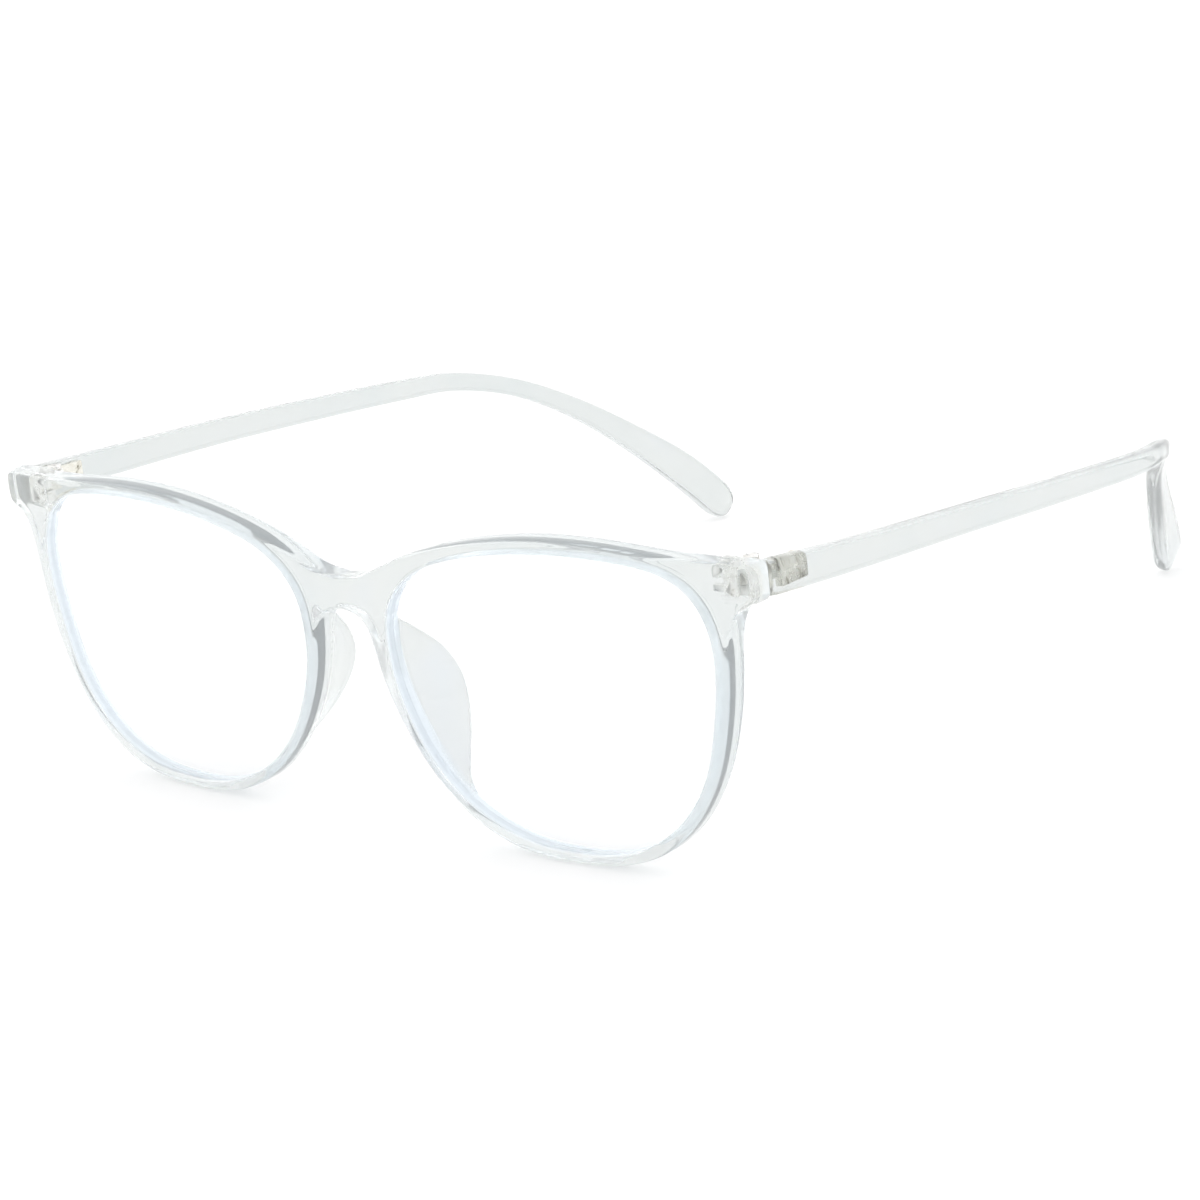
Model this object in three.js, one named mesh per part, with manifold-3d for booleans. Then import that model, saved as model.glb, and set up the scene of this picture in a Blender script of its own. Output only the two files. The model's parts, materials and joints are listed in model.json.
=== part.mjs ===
// Clear plastic glasses with blue-light lenses: a one-piece front with moulded nose pads,
// two lenses held in grooves, and two side arms that fold on small screwed metal hinges.
//
// Millimetres. X runs across the face, the wearer looks towards -Y, and +Z is up. The glasses
// stand open on a table (z = 0), on the bottoms of the rims and the tips of the arms.
// "left" is the wearer's left, which is +X. Each side is shaped at +X and mirrored for -X.

import * as THREE from 'three';
import { mergeVertices } from 'three/addons/utils/BufferGeometryUtils.js';
import Module from 'manifold-3d';

const wasm = await Module();
wasm.setup();

// ---- Driving sizes ----------------------------------------------------------------------

const bowRadius = 700;            // the front is bent across the face to this radius
const rimDepth = 3.8;             // front to back
const rimEdge = 0.45;             // small chamfer round every edge of the front

const lensThickness = 1.6;
const lensInGroove = 0.6;         // how far a lens reaches into its rim
const lensGap = 0.15;             // play in front of and behind the lens
const grooveClearance = 0.3;      // play outside the lens edge
const lensCrown = 1.1;            // how far the middle of a lens stands forward of its edge

const endPiece = { outer: 66.8, bottom: 37.1, top: 42.3, back: 7.1 };
const armGap = 0.3;               // the slit between the front and an arm
const armThickness = 2.6;

const hinge = {
  x: endPiece.outer - armThickness - 1.5,   // the pivot line of the left hinge
  y: endPiece.back + 1.8,
  bottom: 37.6, height: 3.5,                // the stack of three knuckles
  radius: 1.2, hole: 0.65, screw: 0.55, slit: 0.12,
};

// ---- Small tools ------------------------------------------------------------------------

const solid = (geometry) => {
  const clean = geometry.clone();
  clean.deleteAttribute('normal');
  clean.deleteAttribute('uv');
  const merged = mergeVertices(clean, 1e-4);
  return new wasm.Manifold(new wasm.Mesh({
    numProp: 3,
    vertProperties: new Float32Array(merged.attributes.position.array),
    triVerts: new Uint32Array(merged.index.array),
  }));
};

const toGeometry = (manifold) => {
  const { vertProperties, triVerts } = manifold.getMesh();
  const geometry = new THREE.BufferGeometry();
  geometry.setAttribute('position', new THREE.BufferAttribute(new Float32Array(vertProperties), 3));
  geometry.setIndex(new THREE.BufferAttribute(new Uint32Array(triVerts), 1));
  geometry.computeVertexNormals();
  return geometry;
};

// The same solid on the other side of the face, with its triangles turned to face out again.
const mirrored = (geometry) => {
  const copy = geometry.clone().scale(-1, 1, 1);
  const index = copy.index.array;
  for (let i = 0; i < index.length; i += 3) [index[i], index[i + 1]] = [index[i + 1], index[i]];
  copy.computeVertexNormals();
  return copy;
};

const block = (x0, x1, y0, y1, z0, z1) => new THREE.BoxGeometry(x1 - x0, y1 - y0, z1 - z0)
  .translate((x0 + x1) / 2, (y0 + y1) / 2, (z0 + z1) / 2);

const upright = (radius, z0, z1, sides = 20) => new THREE.CylinderGeometry(
  radius, radius, z1 - z0, sides).rotateX(Math.PI / 2).translate(hinge.x, hinge.y, (z0 + z1) / 2);

// A closed skin over a row of rings, each with the same number of points.
const loft = (rings) => {
  const points = rings.flat();
  const n = rings[0].length;
  const last = (rings.length - 1) * n;
  const middle = (ring) => ring.reduce((sum, p) => sum.add(p), new THREE.Vector3())
    .divideScalar(n);
  const faces = [];
  for (let r = 0; r < rings.length - 1; r++) {
    for (let i = 0; i < n; i++) {
      const a = r * n + i, b = r * n + (i + 1) % n;
      faces.push(a, b, b + n, a, b + n, a + n);
    }
  }
  points.push(middle(rings[0]), middle(rings.at(-1)));
  for (let i = 0; i < n; i++) {
    const next = (i + 1) % n;
    faces.push(points.length - 2, next, i, points.length - 1, last + i, last + next);
  }
  const geometry = new THREE.BufferGeometry().setFromPoints(points);
  geometry.setIndex(faces);
  geometry.computeVertexNormals();
  return geometry;
};

const bow = (x) => x * x / (2 * bowRadius);

// Bends a flat front piece round the face.
const bent = (geometry) => {
  const position = geometry.attributes.position;
  for (let i = 0; i < position.count; i++) {
    position.setY(i, position.getY(i) + bow(position.getX(i)));
  }
  return geometry;
};

const vectors = (pairs) => pairs.map(([x, z]) => new THREE.Vector2(x, z));
const smooth = (pairs, count) => new THREE.SplineCurve(vectors(pairs)).getPoints(count);
const flip = (points) => points.map((p) => new THREE.Vector2(-p.x, p.y)).reverse();

// Moves each point of a closed outline straight out by a distance.
const grown = (points, distance) => points.map((p, i) => {
  const before = points.at(i - 1), after = points[(i + 1) % points.length];
  const along = after.clone().sub(before).normalize();
  return new THREE.Vector2(p.x + along.y * distance, p.y - along.x * distance);
});

// ---- Outlines, seen from the front --------------------------------------------------------

// The opening of the left rim, anticlockwise: rounded, with a flatter top and a full lower half.
const opening = new THREE.CatmullRomCurve3([
  [60.0, 30.5], [58.2, 36.4], [53.6, 39.8], [45.5, 41.0], [35.0, 41.0], [24.0, 39.7],
  [14.4, 36.9], [9.0, 32.2], [7.6, 26.0], [8.9, 18.8], [12.8, 11.2], [19.0, 5.4],
  [27.0, 2.2], [35.0, 1.5], [43.5, 2.5], [51.0, 6.4], [56.4, 13.2], [59.1, 22.0],
].map(([x, z]) => new THREE.Vector3(x, z, 0)), true, 'catmullrom')
  .getSpacedPoints(60).slice(0, -1).map((p) => new THREE.Vector2(p.x, p.y));

// Half of the outside edge, clockwise from the middle of the bridge to the middle of its arch.
const outside = [
  ...smooth([[0, 34.7], [4.2, 35.3], [8.6, 37.2], [13.0, 39.0], [19.0, 40.7], [26.0, 42.1],
    [34.0, 43.0], [43.0, 43.1], [53.0, 42.5], [61.0, 42.3]], 26),
  ...vectors([[66.0, 42.3], [66.6, 42.0], [66.8, 41.4], [66.8, 38.0], [66.5, 37.3]]),
  ...smooth([[65.8, 37.1], [64.1, 36.1], [63.0, 33.8], [62.4, 30.0], [61.3, 22.5], [58.8, 14.6],
    [54.7, 7.8], [49.3, 3.1], [43.0, 0.7], [36.8, 0]], 26),
  ...smooth([[31.2, 0], [25.0, 1.0], [18.5, 4.0], [13.0, 8.9], [9.0, 14.6], [6.3, 20.4],
    [5.1, 25.2], [4.2, 28.2], [2.5, 29.7], [0, 30.2]], 24),
];

// ---- Front ------------------------------------------------------------------------------

const plate = (shape, depth, edge) => new THREE.ExtrudeGeometry(shape, {
  depth: depth - 2 * edge, curveSegments: 1, bevelEnabled: edge > 0,
  bevelThickness: edge, bevelSize: edge, bevelOffset: -edge, bevelSegments: 1,
}).translate(0, 0, edge - depth).rotateX(Math.PI / 2);

const frontShape = new THREE.Shape([...outside.slice(1, -1), ...flip(outside)]);
frontShape.holes.push(new THREE.Path(opening), new THREE.Path(flip(opening)));

// The end piece turns back from the rim to meet the arm.
const endBlock = () => {
  const { outer, bottom, top, back } = endPiece;
  const plan = new THREE.Shape();
  plan.moveTo(outer - 6.6, bow(60) + 1.2);
  plan.lineTo(outer - 1.8, bow(outer) + 0.5);
  plan.quadraticCurveTo(outer, bow(outer) + 0.6, outer, bow(outer) + 2.0);
  plan.lineTo(outer, back);
  plan.lineTo(outer - 6.6, back);
  return new THREE.ExtrudeGeometry(plan, {
    depth: top - bottom - 2 * rimEdge, curveSegments: 4, bevelThickness: rimEdge,
    bevelSize: rimEdge, bevelOffset: -rimEdge, bevelSegments: 1,
  }).translate(0, 0, bottom + rimEdge);
};

// The nose pad is a thin wing that sweeps back from the rim, wider apart towards the face.
// Each level gives its height, its root on the rim, and its rear edge.
const nosePad = () => {
  const rootY = 2.9;
  const levels = [
    { z: 5.9, root: 17.6, x: 18.3, y: 3.7 }, { z: 8.0, root: 15.4, x: 16.2, y: 4.7 },
    { z: 10.0, root: 13.3, x: 14.7, y: 6.5 }, { z: 13.0, root: 11.0, x: 12.9, y: 9.1 },
    { z: 16.5, root: 9.0, x: 11.3, y: 10.9 }, { z: 20.0, root: 7.5, x: 10.1, y: 11.2 },
    { z: 23.5, root: 6.6, x: 9.1, y: 9.7 }, { z: 26.5, root: 6.2, x: 8.0, y: 7.0 },
    { z: 29.0, root: 6.2, x: 6.9, y: 4.2 },
  ];
  return loft(levels.map(({ z, root, x, y }) => {
    const along = new THREE.Vector2(x - root, y - rootY);
    const length = along.length();
    along.normalize();
    const across = new THREE.Vector2(along.y, -along.x);
    const ring = [[0, -0.7], [0, 0.7], [length - 0.6, 0.85], [length - 0.15, 0.5],
      [length, 0], [length - 0.15, -0.5], [length - 0.6, -0.85]];
    return ring.map(([a, c]) => new THREE.Vector3(
      root + along.x * a + across.x * c, rootY + along.y * a + across.y * c, z));
  }));
};

// ---- Lens -------------------------------------------------------------------------------

// A crowned disc inside an outline: rings of points from the middle to the edge.
const lensDisc = (outline, thickness, crown, offsetY) => {
  const rings = 4;
  const centre = new THREE.Vector2(34, 21);
  const place = (p, t, y) => new THREE.Vector3(
    centre.x + (p.x - centre.x) * t, y - crown * (1 - t * t), centre.y + (p.y - centre.y) * t);
  const face = (y) => Array.from({ length: rings }, (_, r) => outline.map(
    (p) => place(p, (r + 1) / rings, y)));
  return bent(loft([...face(offsetY + thickness), ...face(offsetY).reverse()]));
};

const lensFront = (rimDepth - lensThickness) / 2;
const lensOutline = grown(opening, lensInGroove);
const lensGeometry = lensDisc(lensOutline, lensThickness, lensCrown, lensFront);
const groove = lensDisc(grown(lensOutline, grooveClearance),
  lensThickness + 2 * lensGap, lensCrown, lensFront - lensGap);

// ---- Hinge ------------------------------------------------------------------------------

const level = (i) => hinge.bottom + (i * (hinge.height + hinge.slit)) / 3;   // foot of knuckle i
const knuckle = (i) => upright(hinge.radius, level(i), level(i + 1) - hinge.slit);
const pinHole = upright(hinge.hole, hinge.bottom - 1, hinge.bottom + hinge.height + 1);

const union = (pieces) => pieces.map(solid).reduce((all, piece) => all.add(piece));

const frontLeafPlate = {
  x0: hinge.x - 3.2, x1: hinge.x + 0.4, y0: endPiece.back - 0.7, y1: endPiece.back + 0.3,
};
const armLeafPlate = {
  x0: hinge.x + 1.3, x1: hinge.x + 2.5, y0: hinge.y + 1.3, y1: hinge.y + 6.2,
};
const armLeafTop = hinge.bottom + 3.0;
const webRoom = 1.6;              // the arm's pocket runs on forward past the plate for its web

// Let into the back of the front: a plate with two anchor legs, and two knuckles.
const frontLeaf = () => {
  const { x0, x1, y0, y1 } = frontLeafPlate;
  const { bottom, height } = hinge;
  const arms = [0, 2].flatMap((i) => [knuckle(i), block(hinge.x - hinge.radius, hinge.x,
    y1 - 0.4, hinge.y, level(i), level(i + 1) - hinge.slit)]);
  const legs = [0.45, 2.2].map((foot) => block(x0, x0 + 2, y0, y1, bottom + foot,
    bottom + foot + 0.85));
  return union([block(x0 + 1.7, x1, y0, y1, bottom, bottom + height), ...legs, ...arms])
    .subtract(solid(pinHole));
};

// Fixed in the arm: a plate along its inner face, and the middle knuckle.
const armLeaf = () => {
  const { x0, x1, y0, y1 } = armLeafPlate;
  const web = block(hinge.x + 0.2, x0 + 0.4, hinge.y, y0 + 1, level(1), level(2) - hinge.slit);
  return union([block(x0, x1, y0, y1, hinge.bottom + 0.1, armLeafTop), knuckle(1), web])
    .subtract(solid(pinHole));
};

const hingeScrew = () => {
  const headFoot = hinge.bottom + hinge.height + 0.1;
  const head = upright(hinge.radius - 0.2, headFoot, headFoot + 0.5);
  const shank = upright(hinge.screw, hinge.bottom - 0.2, headFoot + 0.2);
  const slot = block(hinge.x - 2, hinge.x + 2, hinge.y - 0.15, hinge.y + 0.15,
    headFoot + 0.3, headFoot + 1);
  return union([shank, head]).subtract(solid(slot));
};

// ---- Arm --------------------------------------------------------------------------------

// The middle line of the left arm and its height there. It runs back beside the head, then
// turns down and in behind the ear and widens into a paddle.
const armStations = [
  { at: [endPiece.outer - armThickness / 2, endPiece.back + armGap, 39.5], height: 4.6 },
  { at: [67.0, 22, 38.4], height: 4.2 }, { at: [68.2, 45, 36.8], height: 3.8 },
  { at: [68.5, 66, 35.0], height: 3.5 }, { at: [67.9, 85, 33.3], height: 3.2 },
  { at: [65.6, 95, 32.4], height: 2.9 }, { at: [60.4, 103.3, 29.8], height: 2.8 },
  { at: [54.8, 110.5, 25.1], height: 3.2 }, { at: [50.2, 117.5, 19.0], height: 4.2 },
  { at: [45.8, 125, 11.5], height: 5.7 }, { at: [42.2, 131.6, 3.3], height: 6.0 },
];

const arm = () => {
  const rows = 32;
  const line = new THREE.CatmullRomCurve3(armStations.map(({ at }) => new THREE.Vector3(...at)));
  const sizes = new THREE.SplineCurve(armStations.map(({ height }, i) => new THREE.Vector2(
    i, height)));
  const corner = 0.8;
  const rings = [];
  for (let r = 0; r <= rows; r++) {
    const t = r / rows;
    const centre = line.getPoint(t);
    const along = line.getTangent(t);
    const up = new THREE.Vector3(1, 0, 0).cross(along).normalize();
    const side = up.clone().cross(along).normalize();
    const round = Math.sqrt(Math.max(0.12, 1 - Math.max(0, (t - 0.955) / 0.045) ** 2));
    const halfHeight = sizes.getPoint(t).y / 2 * round;
    const halfThickness = armThickness / 2 * (1 - 0.15 * Math.sin(Math.PI * t)) * round;
    const c = corner * round;
    const ring = [];
    for (const [s, u] of [[1, 1], [-1, 1], [-1, -1], [1, -1]]) {
      const cut = [[0, c], [0.3 * c, 0.3 * c], [c, 0]];
      if (s * u < 0) cut.reverse();
      for (const [ds, du] of cut) {
        ring.push(centre.clone().addScaledVector(side, s * (halfThickness - ds))
          .addScaledVector(up, u * (halfHeight - du)));
      }
    }
    rings.push(ring);
  }
  // The front end is cut square to meet the end piece.
  rings[0].forEach((p) => { p.y = endPiece.back + armGap; });
  const geometry = loft(rings);

  // The arm leans until its tip rests on the table.
  geometry.computeBoundingBox();
  const { min, max } = geometry.boundingBox;
  const position = geometry.attributes.position;
  for (let i = 0; i < position.count; i++) {
    const share = (position.getY(i) - min.y) / (max.y - min.y);
    position.setZ(i, position.getZ(i) - min.z * share);
  }
  return geometry;
};

// ---- Pieces -----------------------------------------------------------------------------

// The room for a metal leaf, with a small gap round it and its open sides carried right out.
const pocket = ({ x0, x1, y0, y1 }, top, gap, { inward = gap, forward = gap, back = gap }) =>
  block(x0 - inward, x1 + gap, y0 - forward, y1 + back, hinge.bottom - gap, top + gap);

const bothSides = (geometry) => solid(geometry).add(solid(mirrored(geometry)));

const frontGeometry = toGeometry(solid(bent(plate(frontShape, rimDepth, rimEdge)))
  .add(bothSides(mergeVertices(endBlock())))
  .add(bothSides(nosePad()))
  .subtract(bothSides(groove))
  .subtract(bothSides(pocket(frontLeafPlate, hinge.bottom + hinge.height, 0.3, { back: 2 }))));

const armGeometry = toGeometry(solid(arm())
  .subtract(solid(pocket(armLeafPlate, armLeafTop, 0.2, { inward: 3, forward: webRoom }))));

const left = {
  lens: lensGeometry,
  temple: armGeometry,
  hinge_front: toGeometry(frontLeaf()),
  hinge_temple: toGeometry(armLeaf()),
  hinge_screw: toGeometry(hingeScrew()),
};

const looks = {
  front_frame: { color: 0xe9eeec, roughness: 0.08, metalness: 0, opacity: 0.45 },
  lens: { color: 0xe6f0fb, roughness: 0.03, metalness: 0, opacity: 0.25 },
  temple: { color: 0xe7edeb, roughness: 0.1, metalness: 0, opacity: 0.45 },
  hinge_front: { color: 0xaaa69c, roughness: 0.35, metalness: 1, opacity: 1 },
  hinge_temple: { color: 0xa8a498, roughness: 0.38, metalness: 1, opacity: 1 },
  hinge_screw: { color: 0xc9c8c4, roughness: 0.25, metalness: 1, opacity: 1 },
};

const piece = (name, geometry, look) => {
  const mesh = new THREE.Mesh(geometry, new THREE.MeshStandardMaterial({
    ...looks[look], transparent: looks[look].opacity < 1 }));
  mesh.name = name;
  return mesh;
};

const glasses = new THREE.Group();
glasses.name = 'blue_light_glasses';
glasses.add(piece('front_frame', frontGeometry, 'front_frame'));
for (const [name, geometry] of Object.entries(left)) {
  glasses.add(piece(`${name}_left`, geometry, name));
  glasses.add(piece(`${name}_right`, mirrored(geometry), name));
}

// The origin is the middle of the footprint, on the table.
const size = new THREE.Box3().setFromObject(glasses);
glasses.position.set(0, -(size.min.y + size.max.y) / 2, -size.min.z);

const group = new THREE.Group();
group.add(glasses);
export default group;
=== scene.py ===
"""Looks for a pair of clear plastic glasses with blue-light lenses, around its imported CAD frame.

Shapes are worked out in millimetres in the part's own terms (x across the face, y back from the
foremost point of the front, z up from the table) and then placed in the frame in metres.
The wearer's left is +x. Each left piece is also made as its mirror image for the right.
"""

import json
import math

import bmesh
import bpy
from mathutils import Matrix, Vector
from mathutils.geometry import tessellate_polygon
from mathutils.kdtree import KDTree

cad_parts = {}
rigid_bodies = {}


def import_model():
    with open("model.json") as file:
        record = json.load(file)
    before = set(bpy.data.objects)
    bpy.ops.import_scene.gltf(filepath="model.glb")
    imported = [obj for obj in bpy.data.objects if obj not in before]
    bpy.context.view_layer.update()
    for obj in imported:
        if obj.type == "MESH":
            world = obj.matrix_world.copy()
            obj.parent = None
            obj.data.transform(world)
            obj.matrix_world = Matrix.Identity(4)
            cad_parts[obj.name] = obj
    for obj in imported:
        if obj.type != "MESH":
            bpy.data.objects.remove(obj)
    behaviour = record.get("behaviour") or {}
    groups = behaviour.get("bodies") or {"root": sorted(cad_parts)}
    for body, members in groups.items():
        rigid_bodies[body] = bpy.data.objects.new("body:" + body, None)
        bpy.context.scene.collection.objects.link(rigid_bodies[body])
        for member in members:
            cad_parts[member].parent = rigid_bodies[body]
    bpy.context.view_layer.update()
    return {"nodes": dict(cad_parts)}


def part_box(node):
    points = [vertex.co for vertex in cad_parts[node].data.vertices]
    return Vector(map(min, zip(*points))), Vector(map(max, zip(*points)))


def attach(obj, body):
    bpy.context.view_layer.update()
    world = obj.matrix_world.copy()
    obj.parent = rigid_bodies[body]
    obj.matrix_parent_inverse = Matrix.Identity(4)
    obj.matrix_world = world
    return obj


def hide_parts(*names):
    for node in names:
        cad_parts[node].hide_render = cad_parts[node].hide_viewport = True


for leftover in list(bpy.data.objects):
    bpy.data.objects.remove(leftover)

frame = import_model()

FRONT_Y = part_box("front_frame")[0][1]      # where the front's foremost point lies in the frame
TO_FRAME = Matrix.Translation((0, FRONT_Y, 0)) @ Matrix.Scale(0.001, 4)
SIDES = {"left": 1, "right": -1}

# ---- Sizes, in millimetres ------------------------------------------------------------------

BOW_RADIUS = 700                           # the curve of the front across the face
RIM_DEPTH = 3.8                            # front to back
OUTER_ROUND, INNER_ROUND = 0.6, 0.45       # rounding of the rim's edges, outside and at a lens
OUTLINE_GAP = 0.45                         # between the points of the front's outlines
SKIN_VOXEL, SKIN_ROUNDS = 0.2, 22          # fineness of the front's skin and how far it is softened

LENS_THICKNESS = 1.6
LENS_IN_RIM = 0.6                          # how far a lens reaches into its rim
LENS_CROWN = 1.1                           # how far its middle stands forward of its edge
LENS_BEVEL = 0.18                          # width and depth of the bevel round a lens's faces
LENS_CENTRE = Vector((34, 21))
LENS_FRONT = (RIM_DEPTH - LENS_THICKNESS) / 2
LENS_RINGS = (0.1, 0.25, 0.4, 0.55, 0.7, 0.8, 0.88, 0.94, 0.975)    # parts of the way to its edge
LENS_EDGE = 0.045                          # the tinted share of that way, at its end

END_OUTER, END_BOTTOM, END_TOP, END_BACK = 66.8, 37.1, 42.3, 7.1
END_WIDTH = 6.6                            # of the block behind the end of the front
END_ROUND = 0.7                            # rounding of that block's upper and lower edges
WALL_REACH, WALL_FADE = 0.55, 0.35         # how far the marked wall goes, and where it fades out
PAD_ROOT_Y = 2.9                           # where the nose pads leave the rim
PAD_SINK = 0.2                             # how far a pad's root lies in the rim
PAD_ROOT_SHARE = 0.8                       # the root's thickness, as a share of the pad's

ARM_THICKNESS = 2.6
ARM_START = END_BACK + 0.3                 # an open arm stops 0.3 mm behind its end piece
ARM_TIP = 0.045                            # the rounded share of an arm's length, at its tip
ARM_WAIST = 0.15                           # how much thinner an arm is half way along

# Outlines as (x, z): one lens opening, then half of the front's outside in four runs.
OPENING = [
    (60.0, 30.5), (58.2, 36.4), (53.6, 39.8), (45.5, 41.0), (35.0, 41.0), (24.0, 39.7),
    (14.4, 36.9), (9.0, 32.2), (7.6, 26.0), (8.9, 18.8), (12.8, 11.2), (19.0, 5.4),
    (27.0, 2.2), (35.0, 1.5), (43.5, 2.5), (51.0, 6.4), (56.4, 13.2), (59.1, 22.0),
]
TOP_EDGE = [
    (0, 34.7), (4.2, 35.3), (8.6, 37.2), (13.0, 39.0), (19.0, 40.7), (26.0, 42.1),
    (34.0, 43.0), (43.0, 43.1), (53.0, 42.5), (61.0, 42.3),
]
END_CORNER = [
    (65.2, 42.3), (66.1, 42.1), (66.65, 41.55), (66.8, 40.8), (66.8, 38.6), (66.6, 37.7),
]
OUTER_EDGE = [
    (65.8, 37.1), (64.1, 36.1), (63.0, 33.8), (62.4, 30.0), (61.3, 22.5), (58.8, 14.6),
    (54.7, 7.8), (49.3, 3.1), (43.0, 0.7), (36.8, 0.0),
]
NOSE_EDGE = [
    (31.2, 0.0), (25.0, 1.0), (18.5, 4.0), (13.0, 8.9), (9.0, 14.6), (6.3, 20.4),
    (5.1, 25.2), (4.2, 28.2), (2.5, 29.7), (0.0, 30.2),
]
# A nose pad's levels: height, root on the rim, rear edge (x, y), and half its thickness.
PAD_LEVELS = [
    (4.6, 19.4, 19.7, 3.2, 0.3), (6.0, 17.5, 18.2, 3.7, 0.5), (8.0, 15.4, 16.2, 4.7, 0.65),
    (10.0, 13.3, 14.7, 6.5, 0.75), (13.0, 11.0, 12.9, 9.1, 0.8),
    (16.5, 9.0, 11.3, 10.9, 0.8), (20.0, 7.5, 10.1, 11.2, 0.8),
    (23.5, 6.6, 9.1, 9.7, 0.75), (26.5, 6.2, 8.0, 7.0, 0.65), (29.0, 6.2, 6.9, 4.3, 0.5),
    (29.9, 6.3, 6.6, 3.4, 0.3),
]
# The middle line of an arm (x, y, z) and its height there.
ARM_STATIONS = [
    (END_OUTER - ARM_THICKNESS / 2, ARM_START, 39.5, 4.6), (67.0, 22, 38.4, 4.2),
    (68.2, 45, 36.8, 3.8), (68.5, 66, 35.0, 3.5), (67.9, 85, 33.3, 3.2), (65.6, 95, 32.4, 2.9),
    (60.4, 103.3, 29.8, 2.8), (54.8, 110.5, 25.1, 3.2), (50.2, 117.5, 19.0, 4.2),
    (45.8, 125, 11.5, 5.7), (42.2, 131.6, 3.3, 6.0),
]


# ---- Curves ---------------------------------------------------------------------------------

def spline(points, steps, closed=False):
    """Points along a smooth curve through the given points, steps to a span."""
    points = [Vector(p) for p in points]
    count = len(points)
    spans = count if closed else count - 1
    out = []
    for k in range(spans * steps + (0 if closed else 1)):
        i = min(k // steps, spans - 1)
        w = k / steps - i
        a, b, c, d = (points[j % count if closed else max(0, min(count - 1, j))]
                      for j in (i - 1, i, i + 1, i + 2))
        out.append(0.5 * (2 * b + (c - a) * w + (2 * a - 5 * b + 4 * c - d) * w ** 2
                          + (3 * b - a - 3 * c + d) * w ** 3))
    return out


def spaced(line, gap, closed=False):
    """The same line with its points an even distance apart."""
    line = line + [line[0]] if closed else line
    lengths = [0.0]
    for a, b in zip(line, line[1:]):
        lengths.append(lengths[-1] + (b - a).length)
    count = max(2, round(lengths[-1] / gap))
    out, j = [], 0
    for k in range(count if closed else count + 1):
        want = lengths[-1] * k / count
        while j < len(line) - 2 and lengths[j + 1] < want:
            j += 1
        span = lengths[j + 1] - lengths[j]
        out.append(line[j].lerp(line[j + 1], (want - lengths[j]) / span if span else 0))
    return out


def inset(points, distance):
    """A closed outline moved towards its right-hand side, which is into the plastic."""
    if not distance:
        return points
    out = []
    for i, p in enumerate(points):
        along = (points[(i + 1) % len(points)] - points[i - 1]).normalized()
        out.append(Vector((p.x + along.y * distance, p.y - along.x * distance)))
    return out


def mirrored(points):
    """The same closed outline on the other side of the face, still turning the same way."""
    return [Vector((-p.x, p.y)) for p in reversed(points)]


def bow(x):
    """How far back the front's curve lies at x."""
    return x * x / (2 * BOW_RADIUS)


# ---- Mesh tools -----------------------------------------------------------------------------

def new_mesh_object(name, points, faces):
    """An object from millimetre points, with its faces turned outward."""
    mesh = bpy.data.meshes.new(name)
    mesh.from_pydata([tuple(p) for p in points], [], faces)
    bm = bmesh.new()
    bm.from_mesh(mesh)
    bmesh.ops.remove_doubles(bm, verts=bm.verts, dist=1e-5)
    bmesh.ops.recalc_face_normals(bm, faces=bm.faces)
    bm.to_mesh(mesh)
    bm.free()
    obj = bpy.data.objects.new(name, mesh)
    bpy.context.collection.objects.link(obj)
    return obj


def apply_modifiers(obj):
    """Makes what the modifiers show the object's own mesh."""
    graph = bpy.context.evaluated_depsgraph_get()
    mesh = bpy.data.meshes.new_from_object(obj.evaluated_get(graph))
    old = obj.data
    obj.modifiers.clear()
    obj.data = mesh
    bpy.data.meshes.remove(old)


def loft(rings):
    """Points and faces of a closed skin over rings of equal length."""
    n = len(rings[0])
    points = [Vector(p) for ring in rings for p in ring]
    faces = []
    for r in range(len(rings) - 1):
        for i in range(n):
            a, b = r * n + i, r * n + (i + 1) % n
            faces.append((a, b, b + n, a + n))
    for ring, start in ((rings[0], 0), (rings[-1], (len(rings) - 1) * n)):
        points.append(sum((Vector(p) for p in ring), Vector((0, 0, 0))) / n)
        faces += [(len(points) - 1, start + i, start + (i + 1) % n) for i in range(n)]
    return points, faces


def rounded_profile(depth, radius, steps=5):
    """(inset, depth) down a wall of a plate whose front and back edges are rounded."""
    quarter = [(radius * (1 - math.sin(a)), radius * (1 - math.cos(a)))
               for a in (k / steps * math.pi / 2 for k in range(steps + 1))]
    return quarter + [(i, depth - d) for i, d in reversed(quarter)]


def plate(outlines, profiles, point):
    """Points and faces of a plate: the first outline is its outside and the rest are openings.

    Each outline has a profile of (inset, depth) pairs from the front to the back, and
    point(u, v, depth) gives the place of a point.
    """
    points, faces, fronts, backs = [], [], [], []
    for outline, profile in zip(outlines, profiles):
        n = len(outline)
        rows = [inset(outline, i) for i, _ in profile]
        start = len(points)
        for row, (_, depth) in zip(rows, profile):
            points += [point(p.x, p.y, depth) for p in row]
        for r in range(len(rows) - 1):
            for i in range(n):
                a, b = start + r * n + i, start + r * n + (i + 1) % n
                faces.append((a, b, b + n, a + n))
        fronts.append((rows[0], start))
        backs.append((rows[-1], start + (len(rows) - 1) * n))
    for loops in (fronts, backs):
        index = [start + i for row, start in loops for i in range(len(row))]
        flat = [[Vector((p.x, p.y, 0)) for p in row] for row, _ in loops]
        faces += [tuple(index[i] for i in face) for face in tessellate_polygon(flat)]
    return points, faces


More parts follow.
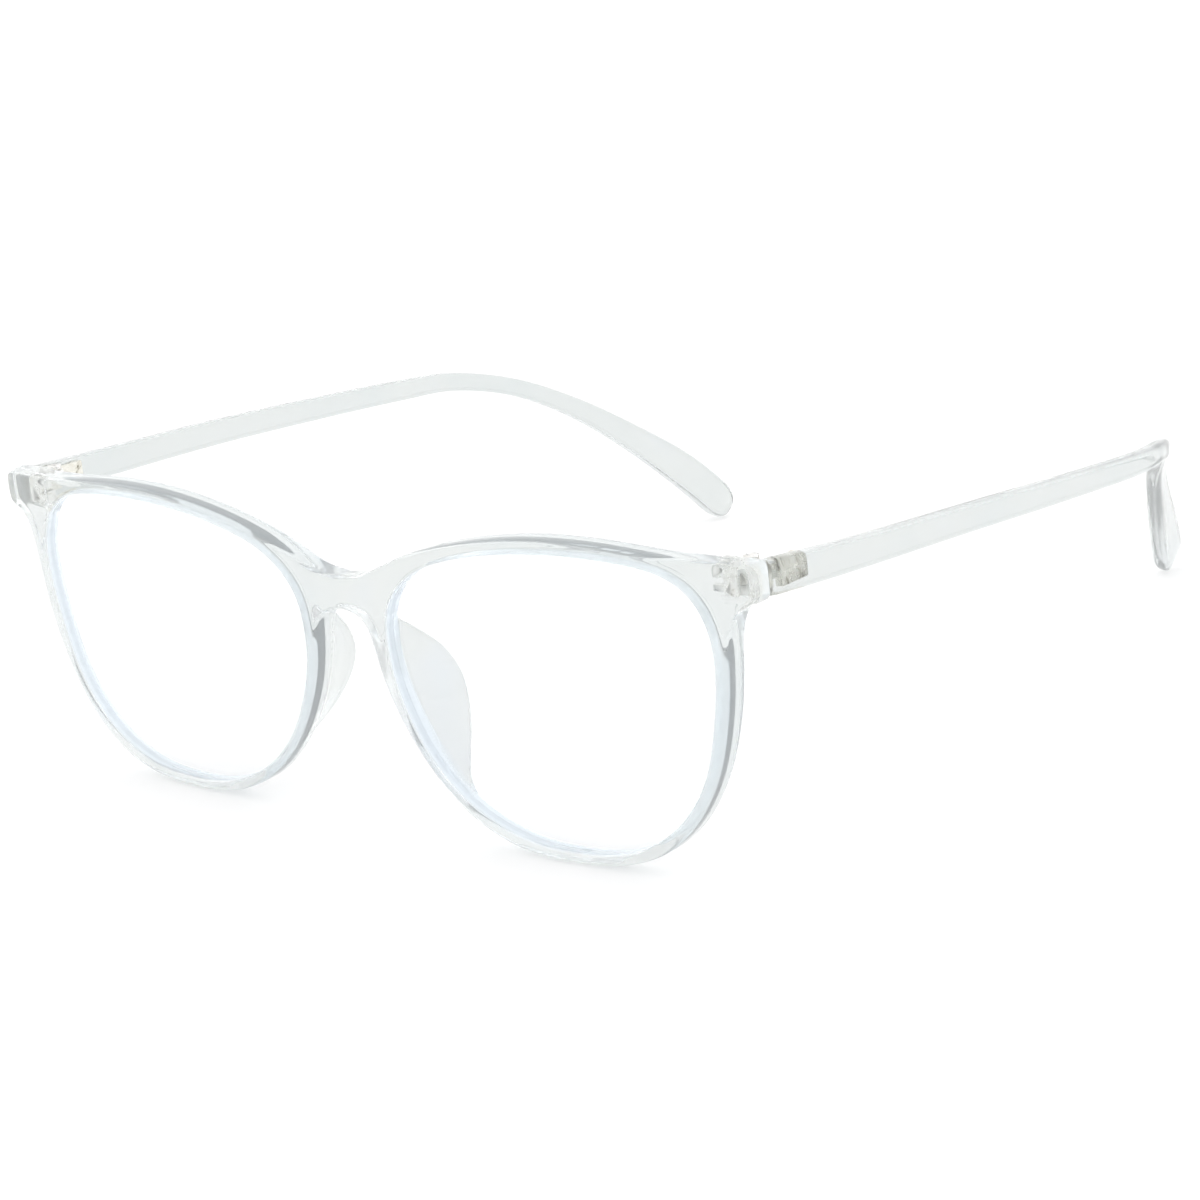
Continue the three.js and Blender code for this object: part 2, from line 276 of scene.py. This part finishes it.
def merged(name, parts):
    """One closed skin over overlapping closed parts, with its joins softened."""
    points, faces = [], []
    for part_points, part_faces in parts:
        base = len(points)
        points += part_points
        faces += [tuple(base + i for i in face) for face in part_faces]
    obj = new_mesh_object(name, points, faces)
    remesh = obj.modifiers.new("skin", "REMESH")
    remesh.mode = "VOXEL"
    remesh.voxel_size = SKIN_VOXEL
    remesh.use_smooth_shade = True
    soften = obj.modifiers.new("soften", "SMOOTH")
    soften.factor, soften.iterations = 0.5, SKIN_ROUNDS
    apply_modifiers(obj)
    return obj


def smooth(obj, material):
    """Gives an object one material and smooth shading."""
    obj.data.materials.clear()
    obj.data.materials.append(material)
    obj.data.polygons.foreach_set("use_smooth", [True] * len(obj.data.polygons))


def mark_points(obj, name, values):
    """Keeps a number for each point of a mesh, for its material to read."""
    obj.data.attributes.new(name, "FLOAT", "POINT").data.foreach_set("value", values)


def settle(obj, body, node, material, mirror=False):
    """Puts a millimetre object into the frame, as the shown form of its CAD node."""
    turn = Matrix.Scale(-1, 4, (1, 0, 0)) if mirror else Matrix.Identity(4)
    obj.data.transform(TO_FRAME @ turn)
    if mirror:
        obj.data.flip_normals()
    smooth(obj, material)
    obj.data.update()
    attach(obj, body)
    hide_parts(node)


# ---- Materials ------------------------------------------------------------------------------

def fill_ramp(ramp, stops):
    """Sets a colour ramp to stops of (position, colour)."""
    while len(ramp.elements) < len(stops):
        ramp.elements.new(0.5)
    for element, (at, colour) in zip(ramp.elements, stops):
        element.position, element.color = at, (*colour, 1)


class Tree:
    """A short way to write a material's nodes."""

    def __init__(self, name):
        self.material = bpy.data.materials.new(name)
        self.material.use_nodes = True
        self.nodes = self.material.node_tree.nodes
        self.links = self.material.node_tree.links
        self.shader = self.nodes["Principled BSDF"]
        self.place = self.nodes.new("ShaderNodeTexCoord").outputs["Object"]

    def noise(self, scale, detail, stretch=None, distortion=0.0):
        """Noise over the piece's own coordinates, in metres."""
        node = self.nodes.new("ShaderNodeTexNoise")
        node.inputs["Scale"].default_value = scale
        node.inputs["Detail"].default_value = detail
        node.inputs["Distortion"].default_value = distortion
        source = self.place
        if stretch:
            mapping = self.nodes.new("ShaderNodeMapping")
            mapping.inputs["Scale"].default_value = stretch
            self.links.new(source, mapping.inputs["Vector"])
            source = mapping.outputs["Vector"]
        self.links.new(source, node.inputs["Vector"])
        return node.outputs["Fac"]

    def spread(self, source, low, high, start=0.3, end=0.7):
        """low to high, as the source goes from start to end; noise stays within 0.3 to 0.7."""
        node = self.nodes.new("ShaderNodeMapRange")
        for key, value in (("From Min", start), ("From Max", end), ("To Min", low),
                           ("To Max", high)):
            node.inputs[key].default_value = value
        self.links.new(source, node.inputs["Value"])
        return node.outputs["Result"]

    def colours(self, source, stops):
        """The colour of a ramp at the source's value."""
        node = self.nodes.new("ShaderNodeValToRGB")
        fill_ramp(node.color_ramp, stops)
        self.links.new(source, node.inputs["Fac"])
        return node.outputs["Color"]

    def bump(self, layers):
        """Layers of (height source, strength, distance in metres) on the surface normal."""
        normal = None
        for source, strength, distance in layers:
            node = self.nodes.new("ShaderNodeBump")
            node.inputs["Strength"].default_value = strength
            node.inputs["Distance"].default_value = distance
            self.links.new(source, node.inputs["Height"])
            if normal:
                self.links.new(normal, node.inputs["Normal"])
            normal = node.outputs["Normal"]
        self.links.new(normal, self.shader.inputs["Normal"])

    def attribute(self, name):
        """The number that mark_points kept for each point."""
        node = self.nodes.new("ShaderNodeAttribute")
        node.attribute_name = name
        return node.outputs["Fac"]

    def maths(self, operation, one, other):
        node = self.nodes.new("ShaderNodeMath")
        node.operation = operation
        self.links.new(one, node.inputs[0])
        self.links.new(other, node.inputs[1])
        return node.outputs["Value"]

    def feed(self, **sources):
        """Links sources to the shader's inputs."""
        for key, source in sources.items():
            self.links.new(source, self.shader.inputs[key.replace("_", " ")])

    def set(self, **values):
        """Sets the shader's inputs to fixed values."""
        for key, value in values.items():
            self.shader.inputs[key.replace("_", " ")].default_value = value


CLEAR, WALL_CLEAR = 0.90, 0.62             # how much light passes, and at a wall round a lens
# The colours of the painted glows: pale, and pale blue where the walls that face a lens give off
# theirs.
PAINTED_GLOW_PALE, PAINTED_GLOW_BLUE = (0.98, 0.99, 1.0), (0.77, 0.89, 1.0)


def clear_plastic(name, stops, glow, blue=None):
    """Polished clear plastic: faintly grey and green, with slow moulding waves and light wear.

    glow is the strength of a painted glow, given off by the inner side of the surface only, in
    place of light that is lost on its long way through the plastic. blue is the colour of the walls
    that face a lens, which the mesh marks; it is strong where they are seen from outside. Those
    walls also give off a stronger painted glow from their inner side, faintly blue.
    """
    tree = Tree(name)
    colour = tree.colours(tree.noise(45, 3, distortion=0.6), stops)
    inside = tree.nodes.new("ShaderNodeNewGeometry").outputs["Backfacing"]
    # A painted glow: light given off by the inner side of the surface, standing in for light lost
    # in the plastic.
    painted_glow = tree.spread(inside, 0, glow, 0, 1)
    if blue:
        wall = tree.attribute("lens_side")
        tinted = tree.maths("MULTIPLY", wall, tree.spread(inside, 1, 0.1, 0, 1))
        # A stronger painted glow, given off by the inner side of the walls that face a lens.
        painted_wall_glow = tree.maths("MULTIPLY", wall, tree.spread(inside, 0, 0.10, 0, 1))
        painted_glow = tree.maths("ADD", painted_glow, painted_wall_glow)
        mix = tree.nodes.new("ShaderNodeMix")
        mix.data_type = "RGBA"
        mix.inputs["B"].default_value = (*blue, 1)
        tree.links.new(tinted, mix.inputs["Factor"])
        tree.links.new(colour, mix.inputs["A"])
        colour = mix.outputs["Result"]
        # The painted glow turns faintly pale blue at those walls.
        tree.feed(Transmission_Weight=tree.spread(wall, CLEAR, WALL_CLEAR, 0, 1),
                  Emission_Color=tree.colours(tinted, [(0.0, PAINTED_GLOW_PALE), (1.0, PAINTED_GLOW_BLUE)]))
    else:
        tree.set(Transmission_Weight=CLEAR, Emission_Color=(*PAINTED_GLOW_PALE, 1))
    tree.feed(Base_Color=colour, Emission_Strength=painted_glow,
              Roughness=tree.spread(tree.noise(900, 4), 0.02, 0.07))
    tree.set(IOR=1.47)
    tree.bump([(tree.noise(120, 1), 0.12, 0.0002), (tree.noise(2600, 3), 0.03, 0.00003)])
    return tree.material


def lens_plastic():
    """Clear lens, tinted light blue only along its edge, with a smooth coating."""
    tree = Tree("lens_clear")
    tint = tree.colours(tree.attribute("edge"), [
        (0.0, (0.985, 0.99, 0.995)), (0.55, (0.96, 0.98, 1.0)), (1.0, (0.90, 0.95, 1.0))])
    tree.feed(Base_Color=tint, Roughness=tree.spread(tree.noise(700, 3), 0.0, 0.02))
    tree.set(Transmission_Weight=1.0, IOR=1.5, Coat_Weight=0.15, Coat_Roughness=0.03)
    tree.bump([(tree.noise(60, 1), 0.1, 0.0001)])
    return tree.material


def metal(name, grain, stops, rough):
    """Cast and tumbled hinge metal: grey, a little uneven, with fine marks along its length."""
    tree = Tree(name)
    tree.feed(
        Base_Color=tree.colours(tree.noise(grain, 3, distortion=1.4), stops),
        Roughness=tree.spread(tree.noise(1800, 4), *rough),
    )
    tree.set(Metallic=1.0, Anisotropic=0.25)
    tree.bump([(tree.noise(900, 4, stretch=(1, 6, 1)), 0.3, 0.00006),
               (tree.noise(6000, 2), 0.15, 0.00002)])
    return tree.material


# glow sets the strength of each material's painted glow.
PLASTIC = clear_plastic("front_clear", glow=0.15, blue=(0.84, 0.92, 1.0), stops=[
    (0.30, (0.640, 0.670, 0.672)), (0.55, (0.672, 0.692, 0.682)), (0.75, (0.655, 0.686, 0.702))])
ARM_PLASTIC = clear_plastic("arm_clear", glow=0.06, stops=[
    (0.30, (0.680, 0.715, 0.714)), (0.55, (0.710, 0.733, 0.725)), (0.75, (0.692, 0.726, 0.742))])
LENS = lens_plastic()
HINGE_METALS = {
    "hinge_front": metal("hinge_pale", grain=500, rough=(0.22, 0.42), stops=[
        (0.25, (0.42, 0.40, 0.34)), (0.36, (0.95, 0.94, 0.91)), (0.7, (0.99, 0.985, 0.97))]),
    "hinge_temple": metal("hinge_grey", grain=600, rough=(0.18, 0.38), stops=[
        (0.33, (0.30, 0.28, 0.22)), (0.43, (0.80, 0.78, 0.70)), (0.7, (0.92, 0.91, 0.85))]),
    "hinge_screw": metal("screw_bright", grain=850, rough=(0.15, 0.3), stops=[
        (0.3, (0.70, 0.69, 0.66)), (0.6, (0.92, 0.91, 0.89))]),
}


# ---- Front ----------------------------------------------------------------------------------

opening = spaced(spline(OPENING, 24, closed=True), OUTLINE_GAP, closed=True)
half = (spline(TOP_EDGE, 12) + spline(END_CORNER, 6) + spline(OUTER_EDGE, 12)
        + spline(NOSE_EDGE, 12))
outside = spaced(half[:-1] + mirrored(half)[:-1], OUTLINE_GAP, closed=True)


def front_plate():
    """The plate round the two openings, before it is bent round the face."""
    inner = rounded_profile(RIM_DEPTH, INNER_ROUND)
    return plate([outside, opening, mirrored(opening)],
                 [rounded_profile(RIM_DEPTH, OUTER_ROUND), inner, inner],
                 lambda x, z, depth: Vector((x, depth, z)))


def end_block(side):
    """The end of the front, turned back from the rim to meet the arm."""
    face = bow(END_OUTER)
    corner = [Vector((END_OUTER - 1.9, face + 0.45)), Vector((END_OUTER, face + 0.55)),
              Vector((END_OUTER, face + 2.2))]
    curve = [(1 - t) ** 2 * corner[0] + 2 * t * (1 - t) * corner[1] + t * t * corner[2]
             for t in (k / 6 for k in range(7))]
    plan = [Vector((END_OUTER - END_WIDTH, bow(60) + 1.2)), *curve, Vector((END_OUTER, END_BACK)),
            Vector((END_OUTER - END_WIDTH, END_BACK))]
    plan = list(reversed(spaced(plan, 0.3, closed=True)))
    return plate([plan], [rounded_profile(END_TOP - END_BOTTOM, END_ROUND)],
                 lambda x, y, depth: Vector((side * x, y - bow(x), END_TOP - depth)))


def nose_pad(side):
    """A thin wing that sweeps back from the rim, with a rounded rear edge."""
    rings = []
    for z, root, x, y, half_thick in spline(PAD_LEVELS, 5):
        along = Vector((x - root, y - PAD_ROOT_Y))
        length = along.length
        along.normalize()
        across = Vector((along.y, -along.x))
        ring = [(-PAD_SINK, half_thick * share) for share in (-PAD_ROOT_SHARE, PAD_ROOT_SHARE)]
        for k in range(9):
            a = math.pi * (0.5 - k / 8)
            ring.append((length - half_thick * (1 - math.cos(a)), half_thick * math.sin(a)))
        row = [(root + along.x * a + across.x * c, PAD_ROOT_Y + along.y * a + across.y * c)
               for a, c in ring]
        rings.append([(side * x, y - bow(x), z) for x, y in row])
    return loft(rings)


def mark_lens_side(obj):
    """Marks the wall of each opening, which faces the lens, with 1 and the rest with 0.

    The mark fades out away from the wall and towards the rim's front and back.
    """
    wall = opening + mirrored(opening)
    tree = KDTree(len(wall))
    for i, p in enumerate(wall):
        tree.insert((p.x, 0, p.y), i)
    tree.balance()
    values = []
    for vertex in obj.data.vertices:
        x, depth, z = vertex.co
        near = (WALL_REACH - tree.find((x, 0, z))[2]) / WALL_FADE
        inside = min((depth - 0.2) / 0.4, (RIM_DEPTH + 0.1 - depth) / 0.3)
        values.append(max(0.0, min(1.0, near, inside)))
    mark_points(obj, "lens_side", values)


parts = [front_plate()]
for side in SIDES.values():
    parts += [end_block(side), nose_pad(side)]
front = merged("front_plastic", parts)
mark_lens_side(front)
for vertex in front.data.vertices:
    vertex.co.y += bow(vertex.co.x)
settle(front, "front", "front_frame", PLASTIC)


# ---- Lenses ---------------------------------------------------------------------------------

def lens(word, side):
    """A crowned disc with a softly bevelled edge, which lies in the plastic of its rim."""
    outline = inset(opening, LENS_IN_RIM)
    # A face's rings: part of the way to the outline, step beyond the outline, and bevel depth.
    face = [(t, 0.0, 0.0) for t in LENS_RINGS] + [(1.0, -LENS_BEVEL, 0.0), (1.0, 0.0, LENS_BEVEL)]
    rings, edge = [], []
    for depth, turned, order in ((0.0, 1, face), (LENS_THICKNESS, -1, face[::-1])):
        for t, beyond, drop in order:
            ring = []
            for p in inset(outline, beyond):
                q = LENS_CENTRE.lerp(p, t)
                y = LENS_FRONT + depth + turned * drop - LENS_CROWN * (1 - t * t) + bow(q.x)
                ring.append((q.x, y, q.y))
            rings.append(ring)
            edge += [max(0.0, (t - (1 - LENS_EDGE)) / LENS_EDGE)] * len(ring)
    obj = new_mesh_object(f"lens_{word}_clear", *loft(rings))
    mark_points(obj, "edge", edge + [0.0, 0.0])        # the last two are the faces' middles
    settle(obj, "front", f"lens_{word}", LENS, mirror=side < 0)


for word, side in SIDES.items():
    lens(word, side)


# ---- Arms -----------------------------------------------------------------------------------

def arm(word, side):
    """A slim bar that turns down behind the ear and widens into a rounded paddle.

    Its front end is flat, and the whole arm leans just enough for its tip to touch the table.
    """
    stations = spline(ARM_STATIONS, 20)
    rows = len(stations) - 1
    rings = []
    for r, station in enumerate(stations):
        t = r / rows
        centre = Vector(station[:3])
        before, after = stations[max(0, r - 1)], stations[min(rows, r + 1)]
        along = (Vector(after[:3]) - Vector(before[:3])).normalized()
        up = Vector((1, 0, 0)).cross(along).normalized()
        out = up.cross(along).normalized()
        tip = math.sqrt(max(0.03, 1 - max(0, (t - (1 - ARM_TIP)) / ARM_TIP) ** 2))
        half_height = station[3] / 2 * tip
        half_thick = ARM_THICKNESS / 2 * (1 - ARM_WAIST * math.sin(math.pi * t)) * tip
        taper = min(1.0, 0.72 + 0.28 * (r / 3)) ** 0.2      # the front end is slightly drawn in
        corner = min(0.85, half_thick * 0.75, half_height * 0.75)
        ring = []
        for s, u in ((1, 1), (-1, 1), (-1, -1), (1, -1)):
            turn = [k / 6 * math.pi / 2 for k in range(7)]
            if s * u < 0:
                turn.reverse()
            for a in turn:
                ring.append(centre
                            + out * s * (half_thick - corner * (1 - math.cos(a))) * taper
                            + up * u * (half_height - corner * (1 - math.sin(a))) * taper)
        rings.append(ring)
    for p in rings[0]:
        p.y = ARM_START
    points, faces = loft(rings)
    low, back = min(p.z for p in points), max(p.y for p in points)
    for p in points:
        p.z -= low * (p.y - ARM_START) / (back - ARM_START)
    obj = new_mesh_object(f"arm_{word}_plastic", points, faces)
    settle(obj, f"{word}_arm", f"temple_{word}", ARM_PLASTIC, mirror=side < 0)


for word, side in SIDES.items():
    arm(word, side)


# ---- Hinges ---------------------------------------------------------------------------------

METAL_ROUND = 0.00008                      # the rounding of the hinges' edges, in metres

for word in SIDES:
    for piece, material in HINGE_METALS.items():
        obj = frame["nodes"][f"{piece}_{word}"]
        smooth(obj, material)
        weld = obj.modifiers.new("weld", "WELD")
        weld.merge_threshold = 1e-6
        bevel = obj.modifiers.new("soft_edges", "BEVEL")
        bevel.width, bevel.segments = METAL_ROUND, 3
        bevel.limit_method, bevel.angle_limit = "ANGLE", math.radians(35)
        bevel.harden_normals = True


# ---- Studio ---------------------------------------------------------------------------------

def floor():
    """A wide, plain, pale sheet under the glasses."""
    mesh = bpy.data.meshes.new("floor")
    bm = bmesh.new()
    bmesh.ops.create_circle(bm, cap_ends=True, segments=96, radius=6)
    bm.to_mesh(mesh)
    bm.free()
    obj = bpy.data.objects.new("floor", mesh)
    obj.location.z = -0.0002
    bpy.context.collection.objects.link(obj)
    tree = Tree("floor_pale")
    tree.feed(Base_Color=tree.colours(tree.noise(3, 2), [
        (0.3, (0.83, 0.83, 0.83)), (0.7, (0.84, 0.84, 0.84))]))
    tree.set(Roughness=1.0, Specular_IOR_Level=0.0, Emission_Color=(1, 1, 1, 1),
             Emission_Strength=0.12)
    mesh.materials.append(tree.material)


CAMERA_PLACE = (0.33745, -0.38989, 0.17299)
CAMERA_AIM = Vector((-0.63921, 0.70886, -0.29822))
CAMERA_UP = Vector((-0.10864, 0.30067, 0.94751))
FOCAL_LENGTH, SENSOR_WIDTH = 112.4, 36     # in millimetres; the place above is in metres


def camera():
    """Looks down a little at the glasses, from the wearer's left front."""
    data = bpy.data.cameras.new("camera")
    data.sensor_width, data.lens = SENSOR_WIDTH, FOCAL_LENGTH
    data.clip_start, data.clip_end = 0.01, 20
    obj = bpy.data.objects.new("camera", data)
    right = CAMERA_AIM.cross(CAMERA_UP).normalized()
    up = right.cross(CAMERA_AIM).normalized()
    turn = Matrix((right, up, -CAMERA_AIM.normalized())).transposed().to_4x4()
    obj.matrix_world = Matrix.Translation(CAMERA_PLACE) @ turn
    bpy.context.collection.objects.link(obj)
    bpy.context.scene.camera = obj


def lamp(name, place, size, power):
    """A soft panel that faces the middle of the table and casts no shadow."""
    data = bpy.data.lights.new(name, "AREA")
    data.shape, data.size, data.size_y, data.energy = "RECTANGLE", *size, power
    obj = bpy.data.objects.new(name, data)
    obj.location = place
    obj.rotation_euler = (-Vector(place)).to_track_quat("-Z", "Y").to_euler()
    data.use_shadow = False
    bpy.context.collection.objects.link(obj)


DARK_SPOT = Vector((0.45, -0.82, 0.35))    # the way to it from the glasses
ROOM_LIGHT = 1.10


def studio():
    """White all round but for one small dark spot, which draws thin streaks in the plastic."""
    world = bpy.data.worlds.new("studio")
    bpy.context.scene.world = world
    world.use_nodes = True
    nodes, links = world.node_tree.nodes, world.node_tree.links
    place = nodes.new("ShaderNodeTexCoord")
    dark = nodes.new("ShaderNodeVectorMath")
    dark.operation = "DOT_PRODUCT"
    dark.inputs[1].default_value = DARK_SPOT.normalized()
    links.new(place.outputs["Generated"], dark.inputs[0])
    ramp = nodes.new("ShaderNodeValToRGB")
    fill_ramp(ramp.color_ramp, [
        (0.920, (1, 1, 1)), (0.975, (0.92, 0.92, 0.925)), (0.989, (0.70, 0.70, 0.71)),
        (0.996, (0.10, 0.10, 0.11))])
    links.new(dark.outputs["Value"], ramp.inputs["Fac"])
    links.new(ramp.outputs["Color"], nodes["Background"].inputs["Color"])
    nodes["Background"].inputs["Strength"].default_value = ROOM_LIGHT
    lamp("key", (0.5, -0.35, 0.9), (0.5, 0.35), 1.6)
    lamp("fill", (-0.9, -0.1, 0.6), (0.6, 0.4), 1.0)
    bpy.context.scene.view_settings.view_transform = "Standard"


floor()
camera()
studio()

bpy.context.view_layer.update()
